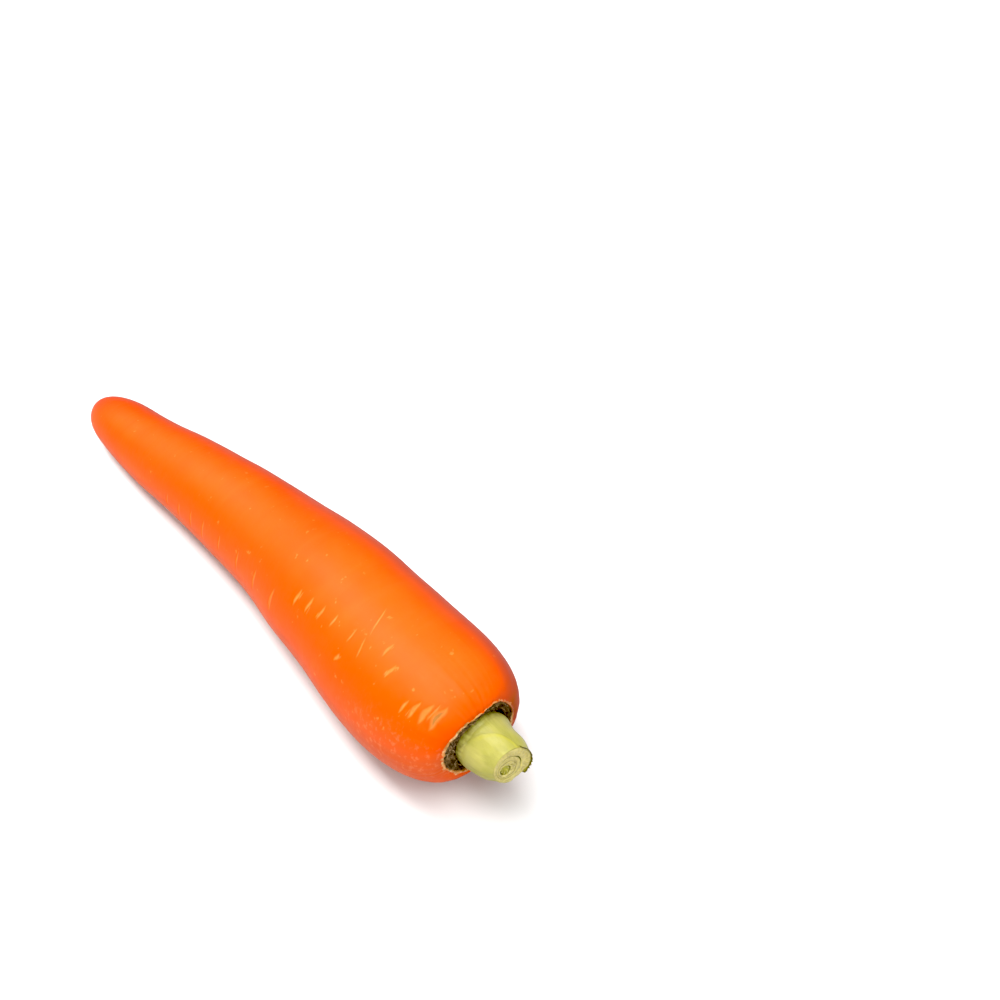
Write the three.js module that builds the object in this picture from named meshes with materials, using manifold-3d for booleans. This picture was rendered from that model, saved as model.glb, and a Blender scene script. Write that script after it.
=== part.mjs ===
// A fresh carrot, pulled and trimmed. The orange taproot lies on its side, and the cut bases of its leaf
// stalks stand in the small hollow of its crown, inside a ring of dried scars left by older leaves.
//
// Millimetres. +X runs along the root from its blunt tip to its crown, and +Z is up. The root rests along
// its underside on z = 0, and the origin is the middle of the base of the whole carrot's box.

import * as THREE from 'three';
import { mergeVertices } from 'three/addons/utils/BufferGeometryUtils.js';
import Module from 'manifold-3d';

// ---- driving dimensions ----

const rootLength = 204;
const rootSegments = 36;
const rootSteps = 38;
// the radius of the root's long cone at evenly spaced places from the tip to the crown
const coneRadii = [9.8, 11.5, 14.4, 16.8, 20.1, 21.8, 24.7];
const tipLength = 24; // the rounded end
const shoulderStart = 165; // where the root starts to round over to its crown
const roundness = 2.2; // of both ends: 2 is an ellipse, and more is squarer
const bow = 5.5; // how far the middle of the root bends sideways, to +Y
const bowSkew = 0.42; // how much more of that bend lies towards the crown than towards the tip
const restDepth = 0.2; // how much of the underside is pressed flat where the root rests

const rimRadius = 12.2; // the outer edge of the crown's hollow
const rimWidth = 0.7;
const hollowDepth = 3;
const crownShift = [0.9, 0.3]; // how far the hollow's middle is off the root's own middle line, [y, z]
const fitGap = 0.3; // between two pieces that touch

const collarInnerRadius = 7.6;
const collarHeight = 2.6;
const collarSegments = 24;

const stalkSegments = 20;
// the outline of the bundle of cut stalks: [height above the hollow's floor, radius]
const stalkOutline = [
  [0, 7.0],
  [3, 8.5],
  [7, 8.1],
  [11, 7.3],
  [14.3, 5.7],
];
const stalkSteps = 2; // between two points of the outline
const stalkBend = [1.5, -2.2]; // the bundle leaves the hollow's middle by this much, [y, z],
const bendHeight = 4; // within this height
const stalkLean = [-0.03, 0.1]; // and leans sideways, [y, z], for each millimetre of height
const cutSlope = [0.18, -0.17]; // the knife's slant, [y, z]: it left the far side and the underside longer
// each stalk's share of the bundle's radius, and how far off the middle of the cut it ends, [y, z]
const middleStalk = { share: 0.76, offset: [-0.6, -0.1] };
const innerStalk = { share: 0.44, offset: [-1.8, -0.3] };
const heartStalk = { share: 0.22, offset: [-2.1, -0.3] };

// ---- materials ----

function material(color, roughness) {
  return new THREE.MeshStandardMaterial({ color, roughness, metalness: 0 });
}

const carrotSkin = material(0xfb6f14, 0.45);
const driedScar = material(0x55401a, 0.9);
const stalkSkin = material(0xcbc653, 0.5);
const stalkFlesh = material(0xc6bf7c, 0.55);
const youngStalk = material(0xa9a834, 0.55);

// ---- the line that the root follows ----

const cone = new THREE.SplineCurve(
  coneRadii.map((radius, i) => new THREE.Vector2((i / (coneRadii.length - 1)) * rootLength, radius))
);

function coneRadius(x) {
  const share = THREE.MathUtils.clamp(x / rootLength, 0, 1);
  return cone.getPoint(share).y;
}

function shoulderShare(x) {
  return THREE.MathUtils.clamp((x - shoulderStart) / (rootLength - shoulderStart), 0, 1);
}

// The two ends round off the cone: the tip closes to a point, and the shoulder to the crown's rim.
function rootRadius(x) {
  if (x < tipLength) {
    return coneRadius(x) * Math.sqrt(1 - (1 - x / tipLength) ** roundness);
  }
  return rimRadius + (coneRadius(x) - rimRadius) * Math.sqrt(1 - shoulderShare(x) ** roundness);
}

function sidewaysBow(x) {
  const share = x / rootLength;
  return bow * Math.sin(Math.PI * share) ** 2 * (1 + bowSkew * (share - 0.5));
}

// A round shape whose axis lies along +X, from [distance along the axis, radius] points.
function roundAlongX(points, segments) {
  const profile = points.map(([along, radius]) => new THREE.Vector2(radius, along));
  const geometry = new THREE.LatheGeometry(profile, segments, Math.PI / segments);
  geometry.rotateZ(-Math.PI / 2);
  geometry.deleteAttribute('normal');
  geometry.deleteAttribute('uv');
  return mergeVertices(geometry, 1e-4);
}

function moveVertices(geometry, move) {
  const position = geometry.attributes.position;
  const point = new THREE.Vector3();
  for (let i = 0; i < position.count; i += 1) {
    point.fromBufferAttribute(position, i);
    move(point);
    position.setXYZ(i, point.x, point.y, point.z);
  }
}

// ---- the taproot ----

function taprootGeometry() {
  const points = [];
  for (let i = 0; i <= rootSteps; i += 1) {
    const x = (rootLength * (1 - Math.cos((Math.PI * i) / rootSteps))) / 2;
    points.push([x, i === 0 ? 0 : rootRadius(x)]);
  }
  points.push([rootLength, rimRadius - rimWidth]);
  points.push([rootLength - hollowDepth, rimRadius - 1.5 * rimWidth]);
  points.push([rootLength - hollowDepth, 0]);

  const geometry = roundAlongX(points, rootSegments);
  moveVertices(geometry, (point) => {
    const insideHollow = Math.hypot(point.y, point.z) < rimRadius - 0.1 && point.x > shoulderStart;
    const shift = insideHollow ? 1 : shoulderShare(point.x) ** 3;
    point.y += sidewaysBow(point.x) + crownShift[0] * shift;
    point.z = Math.max(point.z + coneRadius(point.x) - restDepth + crownShift[1] * shift, 0);
  });
  return geometry;
}

// ---- the crown: dried scars and cut stalks, each built round the hollow's floor ----

// One stalk, solid, cut off at a slant. A hole for the next stalk inside it is the same shape, wider by
// the clearance and standing proud of both ends.
function stalkGeometry({ share, offset }, clearance = 0) {
  const outline = new THREE.SplineCurve(stalkOutline.map(([along, radius]) => new THREE.Vector2(along, radius)));
  const points = outline.getPoints(stalkSteps * (stalkOutline.length - 1));
  const length = stalkOutline[stalkOutline.length - 1][0];
  const sides = points.map((point) => [point.x, point.y * share + clearance]);
  const foot = sides[0];
  const top = sides[sides.length - 1];
  const ends = [[-clearance, 0], [-clearance, foot[1]], ...sides, [length + clearance, top[1]], [length + clearance, 0]];
  const solidEnds = [[0, 0], ...sides, [length, 0]];

  const geometry = roundAlongX(clearance > 0 ? ends : solidEnds, stalkSegments);
  moveVertices(geometry, (point) => {
    const height = Math.max(point.x / length, 0);
    const bend = THREE.MathUtils.clamp(point.x / bendHeight, 0, 1);
    point.y += offset[0] * height;
    point.z += offset[1] * height;
    point.x += (cutSlope[0] * point.y + cutSlope[1] * point.z) * height ** 2;
    point.y += stalkBend[0] * bend + stalkLean[0] * height * length;
    point.z += stalkBend[1] * bend + stalkLean[1] * height * length;
  });
  return geometry;
}

const wasm = await Module();
wasm.setup();

function toSolid(geometry) {
  const mesh = new wasm.Mesh({
    numProp: 3,
    vertProperties: new Float32Array(geometry.attributes.position.array),
    triVerts: new Uint32Array(geometry.index.array),
  });
  return new wasm.Manifold(mesh);
}

function toGeometry(solid) {
  const { vertProperties, triVerts } = solid.getMesh();
  const geometry = new THREE.BufferGeometry();
  geometry.setAttribute('position', new THREE.BufferAttribute(vertProperties, 3));
  geometry.setIndex(new THREE.BufferAttribute(triVerts, 1));
  return geometry;
}

// A stalk base that wraps the next one: its own shape with the next one's shape cut out of it.
function wrappingStalkGeometry(stalk, inside) {
  const hole = toSolid(stalkGeometry(inside, fitGap));
  return toGeometry(toSolid(stalkGeometry(stalk)).subtract(hole));
}

// The ring of scars fills the hollow round the outer stalk, which pushes it thin on one side.
function collarGeometry(outerStalk) {
  const outer = rimRadius - 1.5 * rimWidth - fitGap;
  const section = [
    [0, collarInnerRadius],
    [0, outer],
    [collarHeight * 0.6, outer + 0.3 * rimWidth],
    [collarHeight, (collarInnerRadius + outer) / 2],
    [collarHeight * 0.7, collarInnerRadius],
    [0, collarInnerRadius],
  ];
  const ring = toSolid(roundAlongX(section, collarSegments));
  return toGeometry(ring.subtract(toSolid(stalkGeometry(outerStalk, fitGap))));
}

// ---- the carrot, put together ----

const carrot = new THREE.Group();

function addPiece(parent, name, geometry, pieceMaterial) {
  geometry.computeVertexNormals();
  const mesh = new THREE.Mesh(geometry, pieceMaterial);
  mesh.name = name;
  parent.add(mesh);
}

addPiece(carrot, 'taproot', taprootGeometry(), carrotSkin);

const crown = new THREE.Group();
crown.position.set(
  rootLength - hollowDepth + fitGap,
  crownShift[0],
  coneRadius(rootLength) - restDepth + crownShift[1]
);
carrot.add(crown);

const outerStalk = { share: 1, offset: [0, 0] };
addPiece(crown, 'scar_collar', collarGeometry(outerStalk), driedScar);
addPiece(crown, 'outer_leaf_stalk', wrappingStalkGeometry(outerStalk, middleStalk), stalkSkin);
addPiece(crown, 'middle_leaf_stalk', wrappingStalkGeometry(middleStalk, innerStalk), stalkFlesh);
addPiece(crown, 'inner_leaf_stalk', wrappingStalkGeometry(innerStalk, heartStalk), stalkFlesh);
addPiece(crown, 'heart_leaf_stalk', stalkGeometry(heartStalk), youngStalk);

// the origin goes to the middle of the base of the carrot's box
const box = new THREE.Box3().setFromObject(carrot, true);
const middle = box.getCenter(new THREE.Vector3());
carrot.position.set(-middle.x, -middle.y, -box.min.z);

const group = new THREE.Group();
group.add(carrot);

export default group;
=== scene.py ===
import math

import bpy
import numpy as np
from mathutils import Matrix, Vector, noise


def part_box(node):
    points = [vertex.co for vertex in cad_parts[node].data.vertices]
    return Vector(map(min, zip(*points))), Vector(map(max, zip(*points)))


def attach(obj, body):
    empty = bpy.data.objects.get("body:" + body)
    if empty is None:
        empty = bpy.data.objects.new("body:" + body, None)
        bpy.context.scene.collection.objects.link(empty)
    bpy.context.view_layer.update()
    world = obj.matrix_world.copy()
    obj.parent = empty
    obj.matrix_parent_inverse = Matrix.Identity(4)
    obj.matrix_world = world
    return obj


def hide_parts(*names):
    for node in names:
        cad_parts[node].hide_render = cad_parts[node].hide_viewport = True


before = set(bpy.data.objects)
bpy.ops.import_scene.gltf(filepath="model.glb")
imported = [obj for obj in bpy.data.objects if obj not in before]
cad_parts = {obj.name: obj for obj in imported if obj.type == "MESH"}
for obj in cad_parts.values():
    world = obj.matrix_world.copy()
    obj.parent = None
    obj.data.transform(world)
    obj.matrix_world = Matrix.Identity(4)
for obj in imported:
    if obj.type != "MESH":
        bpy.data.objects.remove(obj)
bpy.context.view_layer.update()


# ---- The taproot ----------------------------------------------------------------------------------
# The orange root, grown as one piece: a long cone with a blunt tip and a round shoulder, bowed a
# little to one side, with a shallow hollow in its crown. Its thin skin is smooth and slightly waxy,
# and it is crossed by pale, spindle-shaped pores. Round the hollow the skin has dried and torn.

MM = 0.001
root_low, root_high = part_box("taproot")
collar_low, collar_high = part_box("scar_collar")
ROOT_TIP = root_low.x
ROOT_LENGTH = root_high.x - root_low.x
CROWN_SHIFT = (0.9 * MM, 0.3 * MM)
CROWN_Y = (collar_low.y + collar_high.y) / 2
CROWN_Z = (collar_low.z + collar_high.z) / 2
ROOT_Y = CROWN_Y - CROWN_SHIFT[0]
CONE_RADII = np.array([9.8, 11.5, 14.4, 16.8, 20.1, 21.8, 24.7]) * MM
TIP_LENGTH = 24 * MM
SHOULDER_START = 165 * MM
ROUNDNESS = 2.2
BOW = 5.5 * MM
BOW_SKEW = 0.42
REST_DEPTH = 0.2 * MM
ROOT_ROWS = 690
FRONT_COLUMNS = 92
BACK_COLUMNS = 48

# The torn rim of the hollow: its outer radius, the width of its pale lip and its height, every 30
# degrees from the top towards the front (-Y).
RIM_RADII = np.array([10.0, 11.3, 13.0, 12.3, 11.4, 11.9, 12.2, 12.2, 12.2, 11.9, 11.6, 12.2]) * MM
LIP_WIDTHS = np.array([0.6, 0.7, 1.3, 0.8, 0.6, 0.9, 1.1, 1.0, 0.9, 0.6, 0.6, 0.8]) * MM
RIM_HEIGHTS = np.array([0.2, 0.1, 0.0, -0.1, 0.0, 0.1, 0.2, 0.2, 0.3, 0.4, 0.4, 0.3]) * MM
HOLLOW_DEPTH = 3 * MM
PORE_DEPTH = 0.18 * MM

# The pores of the side that faces front lie in loose rows. Each row is a count, then its first and
# last pore: millimetres from the tip, degrees from the top towards the front, length and width in
# millimetres, and how much it leans.
FRONT_PORE_ROWS = [
    (4, (66, 78, 5, 0.5, 0.0), (88, 76, 10, 0.6, 0.0)),
    (4, (98, 70, 6, 0.5, 0.1), (132, 66, 9, 0.8, 0.0)),
    (4, (142, 44, 6, 1.0, 0.0), (158, 34, 5, 0.7, 0.0)),
    (2, (166, 50, 3, 1.1, -0.3), (166, 31, 6, 0.5, 0.0)),
    (2, (171, 32, 7, 0.5, 0.3), (169, 11, 10, 0.5, 0.4)),
    (2, (178, 20, 5, 0.8, 0.0), (183, 29, 5, 0.9, -0.1)),
    (4, (192, 41, 5, 0.7, -0.1), (200, 34, 8, 1.5, 0.0)),
]
BACK_PORES = 60

# Slow bulges and dents: millimetres from the tip, degrees from the top towards the front, height and
# reach in millimetres.
SWELLS = [
    (129, 95, 0.25, 8), (146, 96, -0.3, 9), (162, 95, 0.15, 8), (192, 112, -0.7, 13),
    (55, -55, 0.3, 12), (82, -60, 0.35, 10), (20, 95, -0.4, 9), (100, -150, 0.5, 14), (60, 170, -0.4, 12),
]


def smooth_line(values, share):
    """A smooth line through evenly spaced values, read at shares from 0 to 1."""
    place = np.clip(share, 0, 1) * (len(values) - 1)
    step = np.minimum(place.astype(int), len(values) - 2)
    t = place - step
    padded = np.concatenate([values[:1], values, values[-1:]])
    a, b, c, d = (padded[step + i] for i in range(4))
    bend = (2 * a - 5 * b + 4 * c - d) * t**2 + (3 * b - a - 3 * c + d) * t**3
    return 0.5 * (2 * b + (c - a) * t + bend)


def smooth_ring(values, around):
    """A smooth closed line through values spaced evenly round a circle, read at angles."""
    looped = np.concatenate([values[-2:], values, values[:3]])
    share = (np.mod(around / math.tau, 1) * len(values) + 2) / (len(looped) - 1)
    return smooth_line(looped, share)


def soft_step(value, low, high):
    share = np.clip((value - low) / (high - low), 0, 1)
    return share * share * (3 - 2 * share)


def cone_radius(along):
    return smooth_line(CONE_RADII, along / ROOT_LENGTH)


def tip_round(along):
    short = np.clip(1 - along / TIP_LENGTH, 0, 1)
    return np.sqrt(1 - short**ROUNDNESS)


def shoulder_share(along):
    return np.clip((along - SHOULDER_START) / (ROOT_LENGTH - SHOULDER_START), 0, 1)


def shoulder_round(along):
    return np.sqrt(1 - shoulder_share(along) ** ROUNDNESS)


def even_rows(count):
    """Distances along the root whose rings are evenly spaced over its surface."""
    along = ROOT_LENGTH * (1 - np.cos(np.linspace(0, math.pi, 8000))) / 2
    radius = RIM_RADII.mean() + (cone_radius(along) - RIM_RADII.mean()) * shoulder_round(along)
    radius = np.where(along < TIP_LENGTH, cone_radius(along) * tip_round(along), radius)
    run = np.concatenate([[0], np.cumsum(np.hypot(np.diff(along), np.diff(radius)))])
    return np.interp(np.linspace(0, run[-1], count), run, along)


def skin_columns():
    """Angles round the root, closer together on the top and the front, where the pores are."""
    front_start, front_end = math.radians(-25), math.radians(115)
    front = np.linspace(front_start, front_end, FRONT_COLUMNS, endpoint=False)
    back = np.linspace(front_end, front_start + math.tau, BACK_COLUMNS, endpoint=False)
    return np.concatenate([front, back])


def unevenness(along, around, chance):
    """Slow swells and shallow rings of natural growth, in metres of radius."""
    swell = np.zeros(np.broadcast(along, around).shape)
    for _ in range(26):
        turns = chance.integers(0, 4)
        wave = chance.uniform(9, 60) * MM
        swell += 0.0005 * wave * np.cos(
            math.tau * along / wave + turns * around + chance.uniform(0, math.tau)
        )
    for place, side, height, reach in SWELLS:
        turn = np.mod(around - math.radians(side) + math.pi, math.tau) - math.pi
        bump = np.exp(-(((along / MM - place) / reach) ** 2) - (turn / 0.75) ** 2)
        swell = swell + height * MM * bump
    return swell


def sideways_bow(along):
    share = along / ROOT_LENGTH
    return BOW * np.sin(math.pi * share) ** 2 * (1 + BOW_SKEW * (share - 0.5))


def pore_list(chance):
    """Pores as (along, around, length, width, slant), with the hidden side's placed by chance."""
    pores = []
    front = [pore for count, first, last in FRONT_PORE_ROWS for pore in np.linspace(first, last, count)]
    for along, around, length, width, slant in front:
        pores.append((along * MM, math.radians(around), length * MM, 1.35 * width * MM, slant))
        # many pores have a second, thinner crack beside the first
        if width > 0.75:
            aside = math.radians(around + chance.uniform(-4, 4))
            shift = chance.uniform(0.8, 1.1) * width * chance.choice([-1, 1])
            pores.append(((along + shift) * MM, aside, length * 0.55 * MM, 0.35 * width * MM, slant))
    for _ in range(BACK_PORES):
        along = chance.uniform(30, 198) * MM
        around = math.radians(chance.uniform(105, 305))
        length = chance.uniform(2.5, 8.5) * MM
        pores.append((along, around, length, chance.uniform(0.5, 1.1) * MM, chance.uniform(-0.1, 0.1)))
    return pores


def pore_shape(along, around, radius, pores):
    """1 along the middle line of a pore, 0 on its edge and down to -1 outside it."""
    shape = np.full(np.broadcast(along, around).shape, -1.0)
    for pore_along, pore_around, length, width, slant in pores:
        aside = (np.mod(around - pore_around + math.pi, math.tau) - math.pi) * radius
        reach = 2 * aside / length
        wave = 0.1 * width * np.sin(4 * reach + 40 * pore_along / MM)
        across = np.abs(along - pore_along - slant * aside + wave)
        shape = np.maximum(shape, 1 - reach**2 - 2 * across / width)
    return shape


def closed_skin(name, rings, loop=False):
    """A closed mesh over rings of points: its two ends close to a point, or it loops back on itself."""
    rows, columns, _ = rings.shape
    points = rings.reshape(-1, 3)
    index = np.arange(rows * columns).reshape(rows, columns)
    if loop:
        index = np.vstack([index, index[:1]])
    right = np.roll(index, -1, axis=1)
    faces = np.stack([index[:-1], right[:-1], right[1:], index[1:]], axis=-1).reshape(-1, 4).tolist()
    if not loop:
        points = np.vstack([points, rings[0].mean(axis=0), rings[-1].mean(axis=0)])
        start, end = len(points) - 2, len(points) - 1
        faces += [(start, b, a) for a, b in zip(index[0], right[0])]
        faces += [(end, a, b) for a, b in zip(index[-1], right[-1])]
    mesh = bpy.data.meshes.new(name)
    mesh.from_pydata(points.tolist(), [], [tuple(int(i) for i in face) for face in faces])
    mesh.polygons.foreach_set("use_smooth", [True] * len(mesh.polygons))
    mesh.update()
    piece = bpy.data.objects.new(name, mesh)
    bpy.context.collection.objects.link(piece)
    return piece


def paint(piece, name, values):
    """Stores one value for each point of a piece, for its material to read."""
    attribute = piece.data.attributes.new(name, "FLOAT", "POINT")
    filled = np.full(len(piece.data.vertices), float(np.ravel(values)[-1]))
    filled[: np.size(values)] = np.ravel(values)
    attribute.data.foreach_set("value", filled)


def ragged(around, seed, fine):
    """Torn-edge noise round a ring, from about -1 to 1."""
    return np.array([
        noise.fractal(Vector((fine * math.cos(a), fine * math.sin(a), seed)), 0.7, 2.1, 5)
        for a in around
    ])


def make_taproot():
    chance = np.random.default_rng(21)
    around = skin_columns()
    along = even_rows(ROOT_ROWS)[:, None]
    rim = smooth_ring(RIM_RADII, around) + 0.3 * MM * ragged(around, 3.0, 7)
    rise = smooth_ring(RIM_HEIGHTS, around) + 0.15 * MM * ragged(around, 8.0, 7)
    lip = smooth_ring(LIP_WIDTHS, around) * (1 + 0.4 * ragged(around, 5.0, 9))

    cone = cone_radius(along)
    radius = rim + (cone - rim) * shoulder_round(along)
    radius = np.where(along < TIP_LENGTH, cone * tip_round(along), radius)
    pores = pore_shape(along, around, radius, pore_list(chance))
    lift = shoulder_share(along) ** 3
    radius = radius + unevenness(along, around, chance) * tip_round(along) * (1 - lift)
    radius = radius - PORE_DEPTH * soft_step(pores, -0.1, 0.6)
    place = along + lift * rise

    # the torn lip stands up a little, rolls over and drops to the hollow's floor
    edge_in = np.array([0.1, 0.3, 0.55, 0.8, 0.95, 1.0, 1.05, 1.5])[:, None] * lip
    edge_up = np.array([0.05, 0.16, 0.2, 0.12, -0.15, -0.9, -2.6, -3.0])[:, None] * MM
    sink = np.clip(1 + edge_up / HOLLOW_DEPTH, 0, 1)
    edge_place = ROOT_LENGTH + rise * sink + edge_up
    place = np.vstack([place, edge_place])
    beyond_rim = np.vstack([radius - rim, -edge_in])
    radius = np.vstack([radius, rim - edge_in])
    shift = np.vstack([lift * np.ones_like(rim), np.ones_like(edge_place)])

    y = -radius * np.sin(around) + sideways_bow(place)
    z = radius * np.cos(around) + cone_radius(place) - REST_DEPTH
    y = y + CROWN_SHIFT[0] * shift
    z = z + CROWN_SHIFT[1] * shift
    rings = np.stack([ROOT_TIP + place, ROOT_Y + y, np.maximum(z, 0)], axis=-1)
    piece = closed_skin("taproot_skin", rings)
    inside = np.full(edge_place.shape, -1.0)
    paint(piece, "pore", np.vstack([pores, inside]))
    near_rim = np.where(place > 0.9 * ROOT_LENGTH, beyond_rim / MM, 9.0)
    paint(piece, "beyond_rim", near_rim)
    paint(piece, "along", place / ROOT_LENGTH)
    turn = np.degrees(np.mod(around + math.pi, math.tau) - math.pi) * np.ones_like(place)
    # where the sun, the side away from the lamps, the band of painted shade along the front and the rubbing
    # are, by angle
    paint(piece, "sunned", np.exp(-(((turn + 84) / 30) ** 2)))
    paint(piece, "far_side", soft_step(np.cos(np.radians(turn + 50)), -0.5, 0.55))
    paint(piece, "near_side_shade", np.exp(-(((turn - 52) / 21) ** 2)))
    paint(piece, "rub", np.exp(-(((turn - 92) / 30) ** 2)) * soft_step(place / ROOT_LENGTH, 0.78, 0.95))
    return piece


def new_material(name):
    material = bpy.data.materials.new(name)
    material.use_nodes = True
    tree = material.node_tree
    return material, tree, tree.nodes["Principled BSDF"]


def add_node(tree, kind, links=(), **settings):
    """Adds a node, sets its properties and inputs by name, and links (input, output) pairs."""
    node = tree.nodes.new(kind)
    for name, value in settings.items():
        if hasattr(node, name):
            setattr(node, name, value)
        else:
            node.inputs[name.replace("_", " ")].default_value = value
    for name, output in links:
        tree.links.new(output, node.inputs[name])
    return node


def make_patches_group():
    """Soft-edged patches of growth, stretched as their material needs."""
    group = bpy.data.node_groups.new("grown_patches", "ShaderNodeTree")
    for name, kind, value in (
        ("Stretch", "NodeSocketVector", (100, 100, 100)),
        ("Detail", "NodeSocketFloat", 3),
        ("From", "NodeSocketFloat", 0.4),
        ("To", "NodeSocketFloat", 0.6),
    ):
        socket = group.interface.new_socket(name, in_out="INPUT", socket_type=kind)
        socket.default_value = value
    group.interface.new_socket("Patches", in_out="OUTPUT", socket_type="NodeSocketFloat")
    inside = add_node(group, "NodeGroupInput")
    place = add_node(group, "ShaderNodeTexCoord")
    stretched = add_node(
        group, "ShaderNodeVectorMath", operation="MULTIPLY",
        links=[(0, place.outputs["Object"]), (1, inside.outputs["Stretch"])],
    )
    cloud = add_node(
        group, "ShaderNodeTexNoise", Scale=1.0, Roughness=0.55,
        links=[("Vector", stretched.outputs[0]), ("Detail", inside.outputs["Detail"])],
    )
    spread = add_node(
        group, "ShaderNodeMapRange", interpolation_type="SMOOTHSTEP",
        links=[
            ("Value", cloud.outputs["Fac"]),
            ("From Min", inside.outputs["From"]),
            ("From Max", inside.outputs["To"]),
        ],
    )
    outside = add_node(group, "NodeGroupOutput")
    group.links.new(spread.outputs["Result"], outside.inputs["Patches"])
    return group


grown_patches = make_patches_group()


def patches(tree, stretch, low, high, detail=3.0):
    node = add_node(tree, "ShaderNodeGroup", node_tree=grown_patches)
    node.inputs["Stretch"].default_value = stretch
    node.inputs["From"].default_value = low
    node.inputs["To"].default_value = high
    node.inputs["Detail"].default_value = detail
    return node.outputs["Patches"]


def painted(tree, name, low, high):
    """A painted value, spread smoothly from 0 at low to 1 at high."""
    value = add_node(tree, "ShaderNodeAttribute", attribute_name=name)
    spread = add_node(
        tree, "ShaderNodeMapRange", interpolation_type="SMOOTHSTEP",
        links=[("Value", value.outputs["Fac"])], From_Min=low, From_Max=high,
    )
    return spread.outputs["Result"]


def times(tree, value, by):
    """A value multiplied by a number or by another node's output."""
    node = add_node(tree, "ShaderNodeMath", operation="MULTIPLY", links=[(0, value)])
    if isinstance(by, float):
        node.inputs[1].default_value = by
    else:
        tree.links.new(by, node.inputs[1])
    return node.outputs[0]


def tinted(tree, under, colour, mask):
    """The colour under, turned to another colour where the mask is 1."""
    node = add_node(tree, "ShaderNodeMix", data_type="RGBA")
    tree.links.new(mask, node.inputs["Factor"])
    if isinstance(under, tuple):
        node.inputs[6].default_value = (*under, 1)
    else:
        tree.links.new(under, node.inputs[6])
    node.inputs[7].default_value = (*colour, 1)
    return node.outputs[2]


def bumped(tree, shader, heights, distance, strength=1.0):
    """Adds up (height, share) pairs into one bump on a shader."""
    total = times(tree, *heights[0])
    for height, share in heights[1:]:
        add = add_node(
            tree, "ShaderNodeMath", operation="ADD",
            links=[(0, total), (1, times(tree, height, share))],
        )
        total = add.outputs[0]
    bump = add_node(tree, "ShaderNodeBump", links=[("Height", total)], Strength=strength, Distance=distance)
    tree.links.new(bump.outputs["Normal"], shader.inputs["Normal"])


SKIN_ORANGE = (0.84, 0.122, 0.022)
SKIN_DEEPER = (0.79, 0.106, 0.020)
PALE_RING = (0.87, 0.145, 0.028)
DEEP_RING = (0.74, 0.095, 0.018)
# painted shade for the band along the front
FRONT_PAINTED_SHADE = (0.78, 0.090, 0.012)
RUBBED_SKIN = (0.66, 0.125, 0.042)
SCUFF = (0.86, 0.27, 0.12)
SPECK = (0.90, 0.28, 0.07)
SUNNED_GREEN = (0.26, 0.13, 0.006)
PORE_EDGE = (0.90, 0.205, 0.045)
PORE_INSIDE = (0.92, 0.27, 0.075)
HEALED_PORE = (0.26, 0.16, 0.045)
TORN_SKIN = (0.74, 0.36, 0.14)
TORN_BROWN = (0.42, 0.21, 0.07)
TORN_PALE = (0.95, 0.68, 0.38)
# painted shade for the skin seen edge-on
EDGE_PAINTED_SHADE = (0.62, 0.075, 0.01)
SHADED_SKIN = (0.44, 0.028, 0.0)
THROWN_LIGHT = (0.62, 0.50, 0.45)


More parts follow.
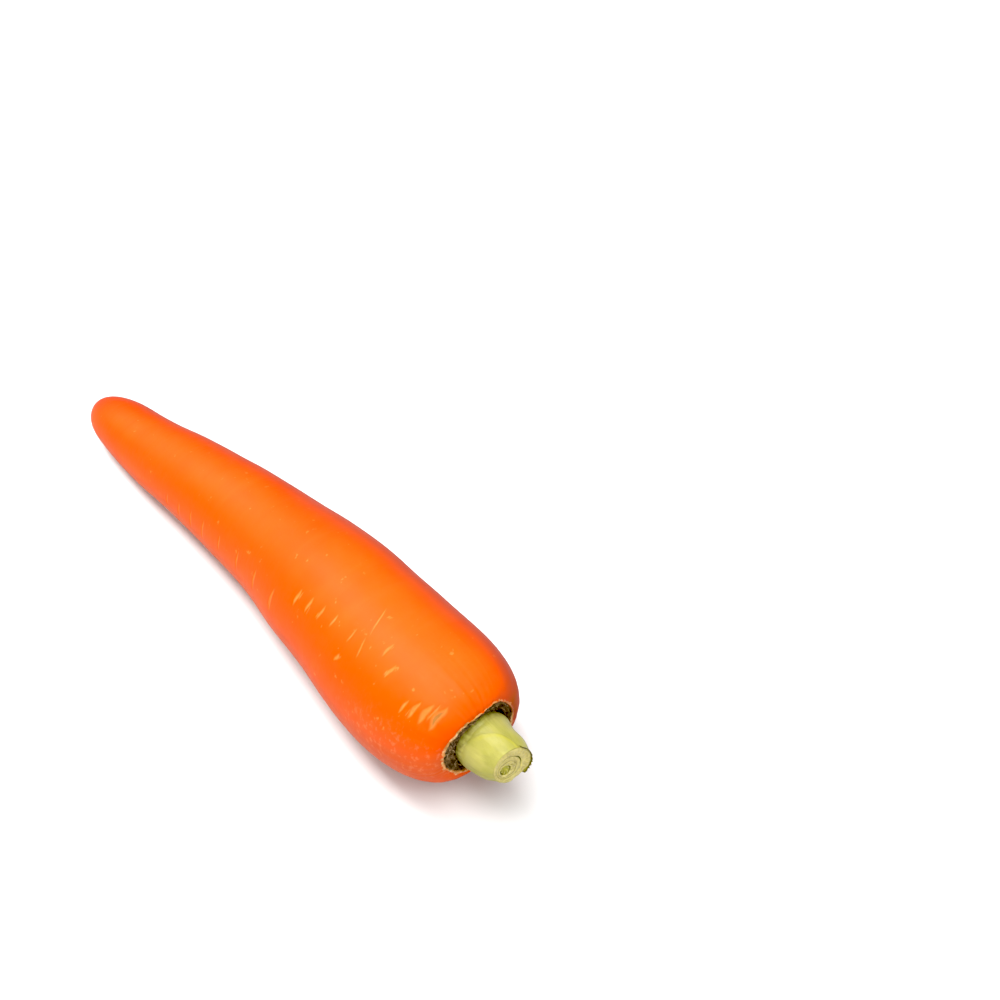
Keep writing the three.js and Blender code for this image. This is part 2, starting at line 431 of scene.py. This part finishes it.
def carrot_skin_material():
    material, tree, shader = new_material("carrot_skin")
    colour = tinted(tree, SKIN_ORANGE, SKIN_DEEPER, patches(tree, (24, 34, 34), 0.35, 0.65))
    pale_rings = times(tree, patches(tree, (160, 30, 30), 0.45, 0.8), 0.4)
    colour = tinted(tree, colour, PALE_RING, pale_rings)
    deep_rings = times(tree, patches(tree, (560, 120, 120), 0.58, 0.8), 0.3)
    colour = tinted(tree, colour, DEEP_RING, deep_rings)
    # painted shade: the skin is painted darker in a band along the front
    front = times(tree, painted(tree, "near_side_shade", 0.0, 1.0), 0.8)
    colour = tinted(tree, colour, FRONT_PAINTED_SHADE, front)
    # the front of the shoulder is duller low down, and rubbed into pale scuffs
    rubbed = times(tree, painted(tree, "rub", 0.0, 1.0), 0.6)
    colour = tinted(tree, colour, RUBBED_SKIN, rubbed)
    scuffs = times(tree, patches(tree, (900, 600, 600), 0.52, 0.68, 5.0), painted(tree, "rub", 0.03, 0.6))
    colour = tinted(tree, colour, SCUFF, times(tree, scuffs, 0.4))
    # small pale specks all over
    specks = patches(tree, (420, 330, 330), 0.68, 0.75, 2.0)
    colour = tinted(tree, colour, SPECK, times(tree, specks, 0.5))
    # green that the sun has given the shoulder, on one side of the crown
    sunned = times(tree, painted(tree, "sunned", 0.1, 0.9), painted(tree, "beyond_rim", 7.5, 0.5))
    colour = tinted(tree, colour, SUNNED_GREEN, times(tree, sunned, 0.8))
    # pores are pale, paler inside, and the ones next to the crown have healed to olive
    pore = painted(tree, "pore", -0.15, 0.5)
    colour = tinted(tree, colour, PORE_EDGE, times(tree, pore, 0.85))
    inner_pore = times(tree, painted(tree, "pore", 0.25, 0.9), patches(tree, (700, 260, 260), 0.3, 0.6))
    colour = tinted(tree, colour, PORE_INSIDE, times(tree, inner_pore, 0.75))
    healed = times(tree, painted(tree, "pore", 0.3, 0.8), painted(tree, "along", 0.965, 0.975))
    colour = tinted(tree, colour, HEALED_PORE, times(tree, healed, 0.75))
    # pale torn skin on the rim, ragged where it meets the sound skin
    torn = tinted(tree, TORN_SKIN, TORN_BROWN, patches(tree, (700, 420, 420), 0.48, 0.66, 4.0))
    torn_pale = times(tree, patches(tree, (900, 800, 800), 0.5, 0.66, 4.0), 0.8)
    torn = tinted(tree, torn, TORN_PALE, torn_pale)
    edge = add_node(tree, "ShaderNodeAttribute", attribute_name="beyond_rim").outputs["Fac"]
    frayed = add_node(
        tree, "ShaderNodeMath", operation="MULTIPLY_ADD",
        links=[(0, patches(tree, (600, 600, 600), 0.2, 0.8, 5.0)), (2, edge)],
    )
    frayed.inputs[1].default_value = -1.1
    rim = add_node(
        tree, "ShaderNodeMapRange", interpolation_type="SMOOTHSTEP",
        links=[("Value", frayed.outputs[0])], From_Min=-0.35, From_Max=-0.65,
    )
    mix = add_node(tree, "ShaderNodeMix", data_type="RGBA")
    tree.links.new(rim.outputs["Result"], mix.inputs["Factor"])
    tree.links.new(colour, mix.inputs[6])
    tree.links.new(torn, mix.inputs[7])
    # painted shade: where the skin is seen edge-on it is painted darker, and darker still on the side away
    # from the lamps
    facing = add_node(tree, "ShaderNodeLayerWeight", Blend=0.5).outputs["Facing"]
    edge_shade = add_node(
        tree, "ShaderNodeMapRange", interpolation_type="SMOOTHSTEP",
        links=[("Value", facing)], From_Min=0.3, From_Max=0.95,
    )
    edge_shade = edge_shade.outputs["Result"]
    colour = tinted(tree, mix.outputs[2], EDGE_PAINTED_SHADE, times(tree, edge_shade, 0.3))
    shaded_side = times(tree, edge_shade, painted(tree, "far_side", 0.0, 1.0))
    colour = tinted(tree, colour, SHADED_SKIN, times(tree, shaded_side, 0.9))
    # the light that the root throws on the table is less orange than the root
    thrown = times(tree, add_node(tree, "ShaderNodeLightPath").outputs["Is Diffuse Ray"], 0.35)
    colour = tinted(tree, colour, THROWN_LIGHT, thrown)
    tree.links.new(colour, shader.inputs["Base Color"])
    shader.inputs["Roughness"].default_value = 0.42
    shader.inputs["Specular IOR Level"].default_value = 0.08
    shader.inputs["Subsurface Weight"].default_value = 0.2
    shader.inputs["Subsurface Radius"].default_value = (1.0, 0.30, 0.06)
    shader.inputs["Subsurface Scale"].default_value = 0.003
    bumped(tree, shader, [
        (patches(tree, (700, 110, 110), 0.2, 0.8, 4.0), 0.3),
        (patches(tree, (300, 300, 300), 0.2, 0.8, 5.0), 0.5),
    ], distance=0.0001, strength=0.6)
    return material


taproot = make_taproot()
taproot.data.materials.append(carrot_skin_material())
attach(taproot, "root")
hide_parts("taproot")


# ---- The scar collar --------------------------------------------------------------------------------
# The dry ring in the crown's hollow, where the bases of older leaves withered and fell away. It is
# dark, corky and frayed: a ridged ring, with broken ends of dead leaf fibre lying on it.

FLOOR_X = collar_low.x
STALK_RADII = np.array([7.0, 8.5, 8.2, 7.4, 5.6]) * MM
STALK_HEIGHT = 14.3 * MM
STALK_BEND = (1.5 * MM, -2.2 * MM)
BEND_HEIGHT = 4 * MM
STALK_LEAN = (-0.03, 0.1)
COLLAR_FOOT = 1.9 * MM
COLLAR_COLUMNS = 320
COLLAR_ROWS = 30
FIBRES = 380


def stalk_middle(height):
    """Where the bundle of stalks has its middle at a height, off the middle of the hollow."""
    bend = np.clip(height / BEND_HEIGHT, 0, 1)
    y = STALK_BEND[0] * bend + STALK_LEAN[0] * height
    z = STALK_BEND[1] * bend + STALK_LEAN[1] * height
    return y, z


def bundle_radius(height):
    return smooth_line(STALK_RADII, height / STALK_HEIGHT)


def circle_reach(radius, middle_y, middle_z, around):
    """How far off a circle's edge is in a direction, from a point that isn't its middle."""
    towards = -middle_y * np.sin(around) + middle_z * np.cos(around)
    return towards + np.sqrt(np.maximum(radius**2 - middle_y**2 - middle_z**2 + towards**2, 0))


def crown_points(height, around, radius):
    """Points in the hollow: height over its floor, angle from the top to the front, and radius."""
    y = CROWN_Y - radius * np.sin(around)
    z = CROWN_Z + radius * np.cos(around)
    return np.stack([FLOOR_X + height + 0 * y, y, z], axis=-1)


def collar_edges(around):
    """The ring's inner radius, beside the stalks, its outer radius and its outer height."""
    foot_height = 2 * MM
    inner = circle_reach(bundle_radius(foot_height), *stalk_middle(foot_height), around) - 0.1 * MM
    outer = smooth_ring(RIM_RADII, around) - smooth_ring(LIP_WIDTHS, around)
    return np.minimum(inner, outer - 0.5 * MM), outer, 2.55 * MM + smooth_ring(RIM_HEIGHTS, around)


def collar_top(share, outer_height):
    """The ring's height at a share of its width: it climbs outwards, past a groove beside the stalks."""
    groove = 0.35 * MM * np.exp(-((share - 0.15) / 0.12) ** 2)
    return COLLAR_FOOT + (outer_height - COLLAR_FOOT) * share**0.8 - groove


def make_collar():
    around = np.linspace(0, math.tau, COLLAR_COLUMNS, endpoint=False)
    inner, outer, outer_height = collar_edges(around)
    share = np.linspace(0, 1, COLLAR_ROWS)[:, None]
    radius = inner + (outer - inner) * share
    height = collar_top(share, outer_height)
    rings = crown_points(height, around, radius)
    fray = np.zeros_like(radius)
    for row in range(1, COLLAR_ROWS):
        for column in range(COLLAR_COLUMNS):
            spot = Vector((float(row) * 0.3, *(rings[row, column, 1:] * 1200)))
            fray[row, column] = noise.fractal(spot, 0.7, 2.1, 4)
    # ridges of old leaf bases run round the ring
    ridges = 0.22 * np.sin(5 * math.pi * share + 3 * np.sin(3 * around)) + 0.55 * fray
    rings[..., 0] += ridges * MM * soft_step(share, 0.0, 0.15) * soft_step(share, 1.08, 0.85)
    # and the ring closes along the hollow's floor
    floor_share = np.array([0.95, 0.5, 0.02])[:, None]
    floor_rings = crown_points(0.05 * MM, around, inner + (outer - inner) * floor_share)
    piece = closed_skin("scar_collar_ring", np.concatenate([rings, floor_rings]), loop=True)
    paint(piece, "fray", np.vstack([ridges, np.zeros((3, COLLAR_COLUMNS))]))
    paint(piece, "share", np.vstack([share + 0 * radius, floor_share + np.zeros((3, COLLAR_COLUMNS))]))
    return piece


def bent_fibre(foot, out, length, thickness, droop, sides=4, steps=4):
    """Rings of a tapering fibre that starts at foot, leaves along out and bends towards droop."""
    spine = [foot + out * (length * k / steps) + droop * (k / steps) ** 2 for k in range(steps + 1)]
    across = out.orthogonal().normalized()
    other = out.cross(across).normalized()
    rings = []
    for k, centre in enumerate(spine):
        radius = thickness * (1 - 0.7 * k / steps)
        turn = [math.tau * i / sides for i in range(sides)]
        rings.append([centre + (across * math.cos(t) + other * math.sin(t)) * radius for t in turn])
    return np.array(rings)


def joined(name, pieces):
    """One object made of several, which are used up."""
    bpy.ops.object.select_all(action="DESELECT")
    for piece in pieces:
        piece.select_set(True)
    bpy.context.view_layer.objects.active = pieces[0]
    bpy.ops.object.join()
    pieces[0].name = name
    return pieces[0]


def make_fibres():
    chance = np.random.default_rng(5)
    fibres = []
    for _ in range(FIBRES):
        around = np.array([chance.uniform(0, math.tau)])
        inner, outer, outer_height = (float(edge[0]) for edge in collar_edges(around))
        share = chance.uniform(0.08, 0.98)
        height = float(collar_top(share, outer_height))
        turn = float(around[0])
        foot = Vector(crown_points(height, turn, inner + (outer - inner) * share).tolist())
        outward = Vector((0, -math.sin(turn), math.cos(turn)))
        sideways = Vector((0, math.cos(turn), math.sin(turn)))
        out = Vector((chance.uniform(0.15, 0.8), 0, 0))
        out += outward * chance.uniform(-0.7, 0.5)
        out += sideways * chance.choice([-1, 1]) * chance.uniform(0.3, 1.2)
        length = chance.uniform(0.5, 1.7) * MM
        droop = (outward * chance.uniform(-0.4, 0.3) + Vector((chance.uniform(-0.5, 0.1), 0, 0))) * MM
        rings = bent_fibre(foot, out.normalized(), length, chance.uniform(0.06, 0.15) * MM, droop)
        fibre = closed_skin("fibre", rings)
        paint(fibre, "bleach", [chance.uniform(0, 1)] * rings[..., 0].size)
        fibres.append(fibre)
    return joined("scar_fibres", fibres)


SCAR_DARK = (0.085, 0.056, 0.032)
SCAR_BROWN = (0.24, 0.155, 0.070)
SCAR_OLIVE = (0.20, 0.15, 0.06)
SCAR_RIDGE = (0.50, 0.33, 0.17)
GROOVE_PAINTED_SHADE = (0.045, 0.03, 0.018)
FIBRE_DARK = (0.09, 0.055, 0.03)
FIBRE_BROWN = (0.24, 0.15, 0.07)
FIBRE_PALE = (0.62, 0.45, 0.25)
FIBRE_OLIVE = (0.16, 0.11, 0.05)


def dried_scar_material():
    material, tree, shader = new_material("dried_scar")
    colour = tinted(tree, SCAR_DARK, SCAR_BROWN, patches(tree, (900, 600, 600), 0.42, 0.58))
    olive = times(tree, patches(tree, (150, 150, 150), 0.45, 0.6), 0.5)
    colour = tinted(tree, colour, SCAR_OLIVE, olive)
    colour = tinted(tree, colour, SCAR_RIDGE, times(tree, painted(tree, "fray", 0.25, 0.6), 0.75))
    # painted shade: the ring is painted darker towards the stalks, in the groove beside them
    colour = tinted(tree, colour, GROOVE_PAINTED_SHADE, times(tree, painted(tree, "share", 0.3, 0.0), 0.6))
    tree.links.new(colour, shader.inputs["Base Color"])
    shader.inputs["Roughness"].default_value = 0.7
    shader.inputs["Specular IOR Level"].default_value = 0.3
    bumped(tree, shader, [(patches(tree, (1500, 900, 900), 0.2, 0.8, 5.0), 1.0)], distance=0.0003)
    return material


def dead_fibre_material():
    material, tree, shader = new_material("dead_fibre")
    colour = tinted(tree, FIBRE_DARK, FIBRE_BROWN, painted(tree, "bleach", 0.3, 0.7))
    colour = tinted(tree, colour, FIBRE_PALE, painted(tree, "bleach", 0.78, 0.9))
    colour = tinted(tree, colour, FIBRE_OLIVE, times(tree, patches(tree, (700, 700, 700), 0.4, 0.6), 0.4))
    tree.links.new(colour, shader.inputs["Base Color"])
    shader.inputs["Roughness"].default_value = 0.7
    return material


collar = make_collar()
collar.data.materials.append(dried_scar_material())
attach(collar, "root")
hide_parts("scar_collar")

fibres = make_fibres()
fibres.data.materials.append(dead_fibre_material())
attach(fibres, "root")


# ---- The leaf stalks ---------------------------------------------------------------------------------
# The bases of four leaf stalks, cut through together at a slant. Each one wraps the next: an outer
# sheath whose free edge runs down the stub's side as a soft fold, a thick middle stalk, an inner
# stalk and the green heart. They are moist and pale yellow-green, and the cut shows their rings.

CUT_SLOPE = (0.18, -0.17)
STALK_COLUMNS = 240
# The height of the sheath's free edge every 30 degrees from the underside, up the far side, over the
# top and down the front: it winds down round the stub, from the cut to the foot.
SHEATH_EDGE = np.array([6.0, 14.2, 14.5, 14.5, 14.5, 13.9, 8.4, 5.0, 3.2, 2.5, 2.5, 2.8]) * MM
SHEATH_EDGE_LIMIT = 14.5 * MM
SHEATH_THICKNESS = 0.35 * MM
INNER_OFFSET = (-1.25 * MM, 0.0)
INNER_RADIUS = 3.5 * MM
HEART_OFFSET = (-2.2 * MM, -0.3 * MM)
HEART_RADIUS = 1.5 * MM


def flat_side(height, around):
    """How much of the bundle's radius is missing where it grew flatter, on the side towards the table."""
    turn = np.mod(around - math.radians(-72) + math.pi, math.tau) - math.pi
    return 1.3 * MM * np.exp(-((turn / math.radians(48)) ** 2)) * np.exp(-(((height / MM - 7.5) / 4.2) ** 2))


def stalk_points(height, around, radius):
    """Points of a stalk's surface, bent, leaning and cut at a slant as the whole bundle is."""
    share = np.clip(height / STALK_HEIGHT, 0, 1.2)
    radius = radius - flat_side(height, around) * soft_step(radius / bundle_radius(height), 0.4, 0.9)
    middle_y, middle_z = stalk_middle(height)
    y = -radius * np.sin(around)
    z = radius * np.cos(around)
    x = FLOOR_X + height + (CUT_SLOPE[0] * y + CUT_SLOPE[1] * z) * share**2
    return np.stack([x, CROWN_Y + y + middle_y, CROWN_Z + z + middle_z], axis=-1)


def inset_outline(radius, offset, height, around):
    """The outline of a round stalk that drifts off the bundle's middle as it rises."""
    share = np.clip(height / STALK_HEIGHT, 0, 1.2)
    return circle_reach(radius, offset[0] * share, offset[1] * share, around)


def sheath_edge(around):
    return np.minimum(smooth_ring(SHEATH_EDGE, around + math.pi), SHEATH_EDGE_LIMIT)


def sheath_cover(height, around):
    """1 where the outer sheath covers the stub, 0 above its free edge."""
    return soft_step(sheath_edge(around) - height, 0.0, 0.9 * MM)


def middle_outside(height, around):
    ribs = 0.035 * MM * np.cos(17 * around) * soft_step(height, 3 * MM, 9 * MM)
    under = SHEATH_THICKNESS * (0.05 + 0.95 * sheath_cover(height, around))
    torn = soft_step(np.cos(around + math.radians(160)), 0.8, 0.98)
    torn = torn * soft_step(height, 11 * MM, STALK_HEIGHT)
    return bundle_radius(height) - under + ribs - 0.9 * MM * torn


def make_outer_stalk():
    around = np.linspace(0, math.tau, STALK_COLUMNS, endpoint=False)
    edge = sheath_edge(around)
    at_cut = soft_step(edge, 13.6 * MM, 14.3 * MM)
    torn = ragged(around, 2.0, 9) * (0.12 + 0.25 * at_cut) * MM
    share = np.linspace(0, 1, 90)[:, None]
    height = share * (edge + torn)
    thickness = SHEATH_THICKNESS * (0.08 + 0.25 * at_cut + 0.65 * soft_step(1 - share, 0, 0.2))
    flare = 0.02 * MM * soft_step(share, 0.8, 1.0) * (1 - at_cut) + 0.05 * MM * at_cut * share**6
    outside = bundle_radius(height) + flare
    inside = outside - thickness
    top = height[-1:] + 0.08 * MM
    heights = np.vstack([height, top, height[::-1]])
    radii = np.vstack([outside, (outside[-1:] + inside[-1:]) / 2, inside[::-1]])
    piece = closed_skin("outer_stalk_sheath", stalk_points(heights, around, radii), loop=True)
    near_top = soft_step(heights, edge - 0.55 * MM, edge - 0.05 * MM)
    paint(piece, "dry_edge", near_top * at_cut)
    paint(piece, "free_edge", soft_step(heights, edge - 1.1 * MM, edge) * (1 - at_cut))
    paint(piece, "cut", 0 * radii)
    paint(piece, "height", heights / STALK_HEIGHT)
    return piece


def cut_stalk(name, around, outside, inside, dome, rings, marks):
    """A stalk that wraps another: up its outside, over its cut end and down its inside."""
    heights = np.linspace(0, STALK_HEIGHT, 80)[:, None] + 0 * around
    across = np.linspace(0, 1, rings + 2)[1:-1, None]
    outer_top, inner_top = outside(heights[-1], around), inside(heights[-1], around)
    relief = marks(across, around)
    end_height = STALK_HEIGHT + dome * np.sin(math.pi * across) + relief * 0.16 * MM
    end_radius = outer_top + (inner_top - outer_top) * across
    up, down = outside(heights, around), inside(heights[::-1], around)
    height = np.vstack([heights, end_height, heights[::-1]])
    piece = closed_skin(name, stalk_points(height, around, np.vstack([up, end_radius, down])), loop=True)
    flat = 0 * heights
    on_cut = flat.copy()
    on_cut[-1] = 0.5
    paint(piece, "cut", np.vstack([on_cut, 1 + 0 * end_radius, on_cut[::-1]]))
    paint(piece, "across", np.vstack([flat, across + 0 * around, flat + 1]))
    paint(piece, "relief", np.vstack([flat, relief, flat]))
    paint(piece, "height", height / STALK_HEIGHT)
    return piece, height


def make_middle_stalk():
    around = np.linspace(0, math.tau, STALK_COLUMNS, endpoint=False)

    def inside(height, around):
        # the stalk stands away from the inner one on its far side, which leaves a dark cleft
        turn = np.mod(around - math.radians(-62) + math.pi, math.tau) - math.pi
        cleft = 0.30 * MM * np.clip(1 - (turn / math.radians(58)) ** 2, 0, 1)
        return inset_outline(INNER_RADIUS, INNER_OFFSET, height, around) + 0.03 * MM + cleft

    def marks(across, around):
        strands = np.clip(np.cos(31 * around + 2 * np.sin(3 * around)), 0, 1)
        strands = strands * np.exp(-((across - 0.5) / 0.2) ** 2)
        growth = np.sin(math.tau * 1.6 * across + np.sin(4 * around))
        return 0.9 * strands + 0.35 * growth - 1.6 * (across < 0.08)

    piece, height = cut_stalk("middle_stalk", around, middle_outside, inside, 0.15 * MM, 18, marks)
    edge = sheath_edge(around)
    below = np.exp(-(((height - edge) / MM - 1.0) / 0.9) ** 2) * soft_step(edge, 3.5 * MM, 6 * MM)
    paint(piece, "fold", below)
    above_edge = soft_step(height - edge, 0.35 * MM, -0.3 * MM)
    below_edge = soft_step(height - edge, -1.5 * MM, -0.3 * MM)
    paint(piece, "shade", above_edge * below_edge)
    return piece


def make_inner_stalk():
    around = np.linspace(0, math.tau, 170, endpoint=False)

    def outside(height, around):
        return inset_outline(INNER_RADIUS, INNER_OFFSET, height, around)

    def inside(height, around):
        return inset_outline(HEART_RADIUS, HEART_OFFSET, height, around) + 0.05 * MM

    def marks(across, around):
        ring = np.exp(-((across - 0.42) / 0.09) ** 2)
        strands = np.clip(np.cos(23 * around + np.sin(2 * around)), 0, 1)
        strands = strands * np.exp(-((across - 0.75) / 0.15) ** 2)
        return strands * 0.8 - 1.1 * ring + 0.3 * np.cos(3 * around)

    piece, _ = cut_stalk("inner_stalk", around, outside, inside, 0.22 * MM, 22, marks)
    return piece


def make_heart_stalk():
    around = np.linspace(0, math.tau, 90, endpoint=False)
    top_height = STALK_HEIGHT - 0.3 * MM
    up = np.linspace(0, top_height, 50)[:, None] + 0 * around
    # the end is dished, and closes to its middle in shrinking rings
    shrink = np.linspace(1, 0.1, 14)[1:, None] + 0 * around
    end = top_height - 0.35 * MM * (1 - shrink**2) + 0.09 * MM * np.cos(7 * around + 6 * shrink) * shrink
    height = np.vstack([up, end])
    size = np.vstack([np.ones_like(up), shrink])
    middle_y, middle_z = stalk_middle(height)
    share = height / STALK_HEIGHT
    y = -HEART_RADIUS * size * np.sin(around) * 0.85 + HEART_OFFSET[0] * share
    z = HEART_RADIUS * size * np.cos(around) * 1.15 + HEART_OFFSET[1] * share
    x = FLOOR_X + height + (CUT_SLOPE[0] * y + CUT_SLOPE[1] * z) * share**2
    rings = np.stack([x, CROWN_Y + y + middle_y, CROWN_Z + z + middle_z], axis=-1)
    piece = closed_skin("heart_stalk", rings)
    paint(piece, "cut", np.vstack([0 * up, 1 + 0 * shrink]))
    paint(piece, "height", share)
    paint(piece, "relief", np.vstack([0 * up, np.cos(7 * around + 6 * shrink) * shrink]))
    return piece


STALK_PALE = (0.58, 0.52, 0.17)
FOLD_YELLOW = (0.47, 0.44, 0.05)
FOLD_SHADE = (0.20, 0.17, 0.015)
FREE_EDGE = (0.46, 0.43, 0.10)
BROWN_FOOT = (0.17, 0.11, 0.02)
CUT_STRAND = (0.60, 0.53, 0.28)
CUT_GROOVE = (0.28, 0.24, 0.07)
CUT_BLEMISH = (0.24, 0.17, 0.06)
DRY_EDGE = (0.060, 0.050, 0.012)


def stalk_material(name, side, flesh):
    """A stalk's skin, coloured side, with the colour flesh where the knife went through it."""
    material, tree, shader = new_material(name)
    streak = patches(tree, (60, 700, 700), 0.4, 0.7)
    colour = tinted(tree, side, tuple(c * 0.88 for c in side), streak)
    pale = times(tree, patches(tree, (70, 130, 130), 0.42, 0.68), 0.55)
    colour = tinted(tree, colour, STALK_PALE, pale)
    colour = tinted(tree, colour, FOLD_YELLOW, times(tree, painted(tree, "fold", 0.0, 1.0), 0.45))
    colour = tinted(tree, colour, FOLD_SHADE, times(tree, painted(tree, "shade", 0.2, 1.0), 0.12))
    colour = tinted(tree, colour, FREE_EDGE, times(tree, painted(tree, "free_edge", 0.2, 1.0), 0.5))
    # brown streaks climb from the foot
    foot = times(tree, painted(tree, "height", 0.34, 0.19), patches(tree, (220, 900, 900), 0.35, 0.6, 4.0))
    colour = tinted(tree, colour, BROWN_FOOT, times(tree, foot, 0.5))
    ends = tinted(tree, flesh, tuple(c * 1.2 for c in flesh), patches(tree, (500, 900, 900), 0.4, 0.65))
    ends = tinted(tree, ends, CUT_STRAND, times(tree, painted(tree, "relief", 0.25, 0.9), 0.7))
    ends = tinted(tree, ends, CUT_GROOVE, times(tree, painted(tree, "relief", -0.3, -1.1), 0.7))
    blemish = times(tree, patches(tree, (420, 420, 420), 0.58, 0.72, 4.0), 0.5)
    ends = tinted(tree, ends, CUT_BLEMISH, blemish)
    mix = add_node(tree, "ShaderNodeMix", data_type="RGBA")
    tree.links.new(painted(tree, "cut", 0.45, 0.8), mix.inputs["Factor"])
    tree.links.new(colour, mix.inputs[6])
    tree.links.new(ends, mix.inputs[7])
    dry = times(tree, painted(tree, "dry_edge", 0.1, 0.7), 0.9)
    colour = tinted(tree, mix.outputs[2], DRY_EDGE, dry)
    tree.links.new(colour, shader.inputs["Base Color"])
    shader.inputs["Roughness"].default_value = 0.42
    shader.inputs["Specular IOR Level"].default_value = 0.3
    shader.inputs["Subsurface Weight"].default_value = 0.3
    shader.inputs["Subsurface Radius"].default_value = (1.0, 0.9, 0.35)
    shader.inputs["Subsurface Scale"].default_value = 0.0015
    bumped(tree, shader, [
        (patches(tree, (60, 1100, 1100), 0.2, 0.8, 4.0), 0.5),
        (patches(tree, (500, 500, 500), 0.2, 0.8, 4.0), 0.5),
    ], distance=0.00015, strength=0.8)
    return material


stalk_pieces = (
    (make_outer_stalk, "outer_leaf_stalk", "stalk_skin",
     stalk_material("stalk_skin", (0.43, 0.405, 0.095), (0.45, 0.39, 0.14))),
    (make_middle_stalk, "middle_leaf_stalk", "stalk_skin",
     stalk_material("middle_stalk_skin", (0.41, 0.385, 0.088), (0.50, 0.43, 0.155))),
    (make_inner_stalk, "inner_leaf_stalk", "stalk_flesh",
     stalk_material("stalk_flesh", (0.30, 0.28, 0.06), (0.52, 0.45, 0.165))),
    (make_heart_stalk, "heart_leaf_stalk", "young_stalk",
     stalk_material("young_stalk", (0.30, 0.30, 0.05), (0.40, 0.38, 0.06))),
)
for make, node, slot, material in stalk_pieces:
    stalk = make()
    stalk.data.materials.append(material)
    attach(stalk, "root")
    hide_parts(node)


# ---- The table, the light and the camera ----------------------------------------------------------------
# A plain white table that runs out of sight under a pale sky. One long soft lamp hangs overhead, and a
# second, weaker one stands on the camera's side. The camera is beyond the crown's end, in front of the
# root, and looks down on it at 45 degrees.

def make_table():
    mesh = bpy.data.meshes.new("table")
    half = 3.0
    corners = [(-half, -half, 0), (half, -half, 0), (half, half, 0), (-half, half, 0)]
    mesh.from_pydata(corners, [], [(0, 1, 2, 3)])
    table = bpy.data.objects.new("table", mesh)
    bpy.context.collection.objects.link(table)
    material, tree, shader = new_material("table_white")
    # the table looks whiter than it lights the root, which keeps the root's underside calm
    path = add_node(tree, "ShaderNodeLightPath").outputs["Is Camera Ray"]
    mix = add_node(tree, "ShaderNodeMix", data_type="RGBA")
    tree.links.new(path, mix.inputs["Factor"])
    mix.inputs[6].default_value = (0.55, 0.55, 0.55, 1)
    mix.inputs[7].default_value = (0.82, 0.82, 0.82, 1)
    tree.links.new(mix.outputs[2], shader.inputs["Base Color"])
    shader.inputs["Roughness"].default_value = 0.9
    shader.inputs["Specular IOR Level"].default_value = 0.1
    # far from the carrot it is seen as white as the sky, so no edge shows
    place = add_node(tree, "ShaderNodeTexCoord").outputs["Object"]
    reach = add_node(tree, "ShaderNodeVectorMath", operation="LENGTH", links=[(0, place)])
    far = add_node(
        tree, "ShaderNodeMapRange", interpolation_type="SMOOTHSTEP",
        links=[("Value", reach.outputs["Value"])], From_Min=0.3, From_Max=0.7,
    )
    white = add_node(tree, "ShaderNodeEmission", Strength=1.2)
    faded = add_node(
        tree, "ShaderNodeMixShader",
        links=[(0, times(tree, path, far.outputs["Result"])), (1, shader.outputs[0]), (2, white.outputs[0])],
    )
    tree.links.new(faded.outputs[0], tree.nodes["Material Output"].inputs["Surface"])
    mesh.materials.append(material)
    return table


make_table()

SKY_STRENGTH = 0.7
SKY_SEEN = 1.2


def make_sky():
    """A pale sky, brighter in front of the root (-Y) than behind it, and plain white where it is seen."""
    world = bpy.data.worlds.new("pale_sky")
    bpy.context.scene.world = world
    world.use_nodes = True
    tree = world.node_tree
    place = add_node(tree, "ShaderNodeTexCoord")
    towards = add_node(tree, "ShaderNodeSeparateXYZ", links=[("Vector", place.outputs["Generated"])])
    shade = add_node(
        tree, "ShaderNodeMapRange", links=[("Value", towards.outputs["Y"])],
        From_Min=-1.0, From_Max=0.6, To_Min=1.0 * SKY_STRENGTH, To_Max=0.25 * SKY_STRENGTH,
    )
    seen = add_node(tree, "ShaderNodeLightPath").outputs["Is Camera Ray"]
    strength = add_node(tree, "ShaderNodeMix", links=[("Factor", seen), ("A", shade.outputs["Result"])])
    strength.inputs["B"].default_value = SKY_SEEN
    tree.links.new(strength.outputs["Result"], tree.nodes["Background"].inputs["Strength"])
    tree.nodes["Background"].inputs["Color"].default_value = (1, 1, 1, 1)


make_sky()


def add_lamp(name, place, long, wide, energy):
    """A long soft lamp that faces the middle of the table, with its length along the root."""
    data = bpy.data.lights.new(name, "AREA")
    data.shape = "RECTANGLE"
    data.size = wide
    data.size_y = long
    data.energy = energy
    lamp = bpy.data.objects.new(name, data)
    lamp.location = place
    face = Vector(place).normalized()
    along = (Vector((1, 0, 0)) - face * face.x).normalized()
    turn = Matrix((along.cross(face), along, face)).transposed()
    lamp.rotation_euler = turn.to_euler()
    bpy.context.collection.objects.link(lamp)


add_lamp("overhead_lamp", (-0.12, -0.10, 1.15), 2.3, 0.5, 33.0)
add_lamp("front_lamp", (0.75, -0.75, 0.55), 0.9, 0.9, 3.0)

CAMERA_AROUND = math.radians(47.29)
CAMERA_DOWN = math.radians(45)
CAMERA_DISTANCE = 377.5 * MM
aim = Vector((ROOT_TIP + 126.4 * MM, ROOT_Y + 79.9 * MM, 0))
back = Vector((
    math.sin(CAMERA_AROUND) * math.cos(CAMERA_DOWN),
    -math.cos(CAMERA_AROUND) * math.cos(CAMERA_DOWN),
    math.sin(CAMERA_DOWN),
))
camera_data = bpy.data.cameras.new("camera")
camera_data.sensor_width = 36
camera_data.lens = 39.6
camera_data.clip_start = 0.01
camera = bpy.data.objects.new("camera", camera_data)
camera.location = aim + back * CAMERA_DISTANCE
camera.rotation_euler = back.to_track_quat("Z", "Y").to_euler()
bpy.context.collection.objects.link(camera)
bpy.context.scene.camera = camera
bpy.context.scene.view_settings.view_transform = "Standard"
# the darkest tones are pulled down to black
levels = bpy.context.scene.view_settings
levels.use_curve_mapping = True
levels.curve_mapping.black_level = (0.035, 0.035, 0.035)
levels.curve_mapping.update()
